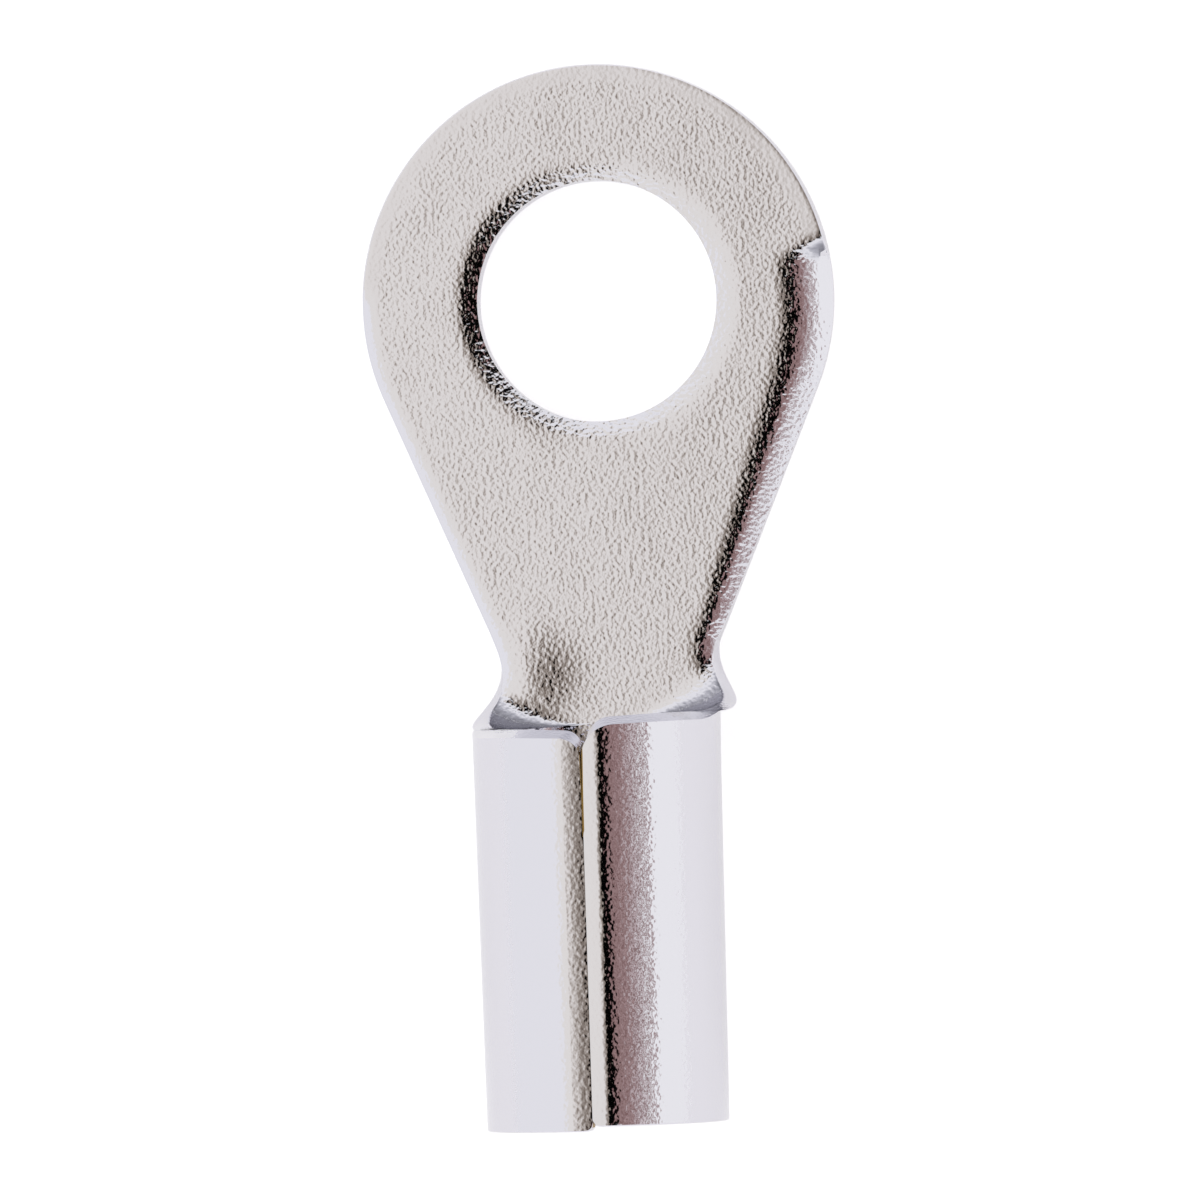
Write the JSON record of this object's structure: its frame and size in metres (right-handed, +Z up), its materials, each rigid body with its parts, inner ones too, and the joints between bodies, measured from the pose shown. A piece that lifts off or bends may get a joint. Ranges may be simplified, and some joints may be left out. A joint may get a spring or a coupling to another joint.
{
  "type": "ring terminal",
  "caption": "Uninsulated crimp ring terminal: flat ring tongue with a stud hole, necking into a rolled wire barrel closed by a butt seam, tin plated.",
  "frame": {"origin": "centre of the stud hole, on the tongue's underside", "axes": "+Y from the wire barrel towards the ring's tip, +Z up through the stud hole to the seam side, +X to the right seen from above"},
  "size_m": [0.0102, 0.0228, 0.0053],
  "materials": {
    "tinned_brass": "matte electroplated tin over rolled brass sheet, satin and finely grained"
  },
  "bodies": {
    "root": {"terminal": "tinned_brass"}
  },
  "joints": []
}
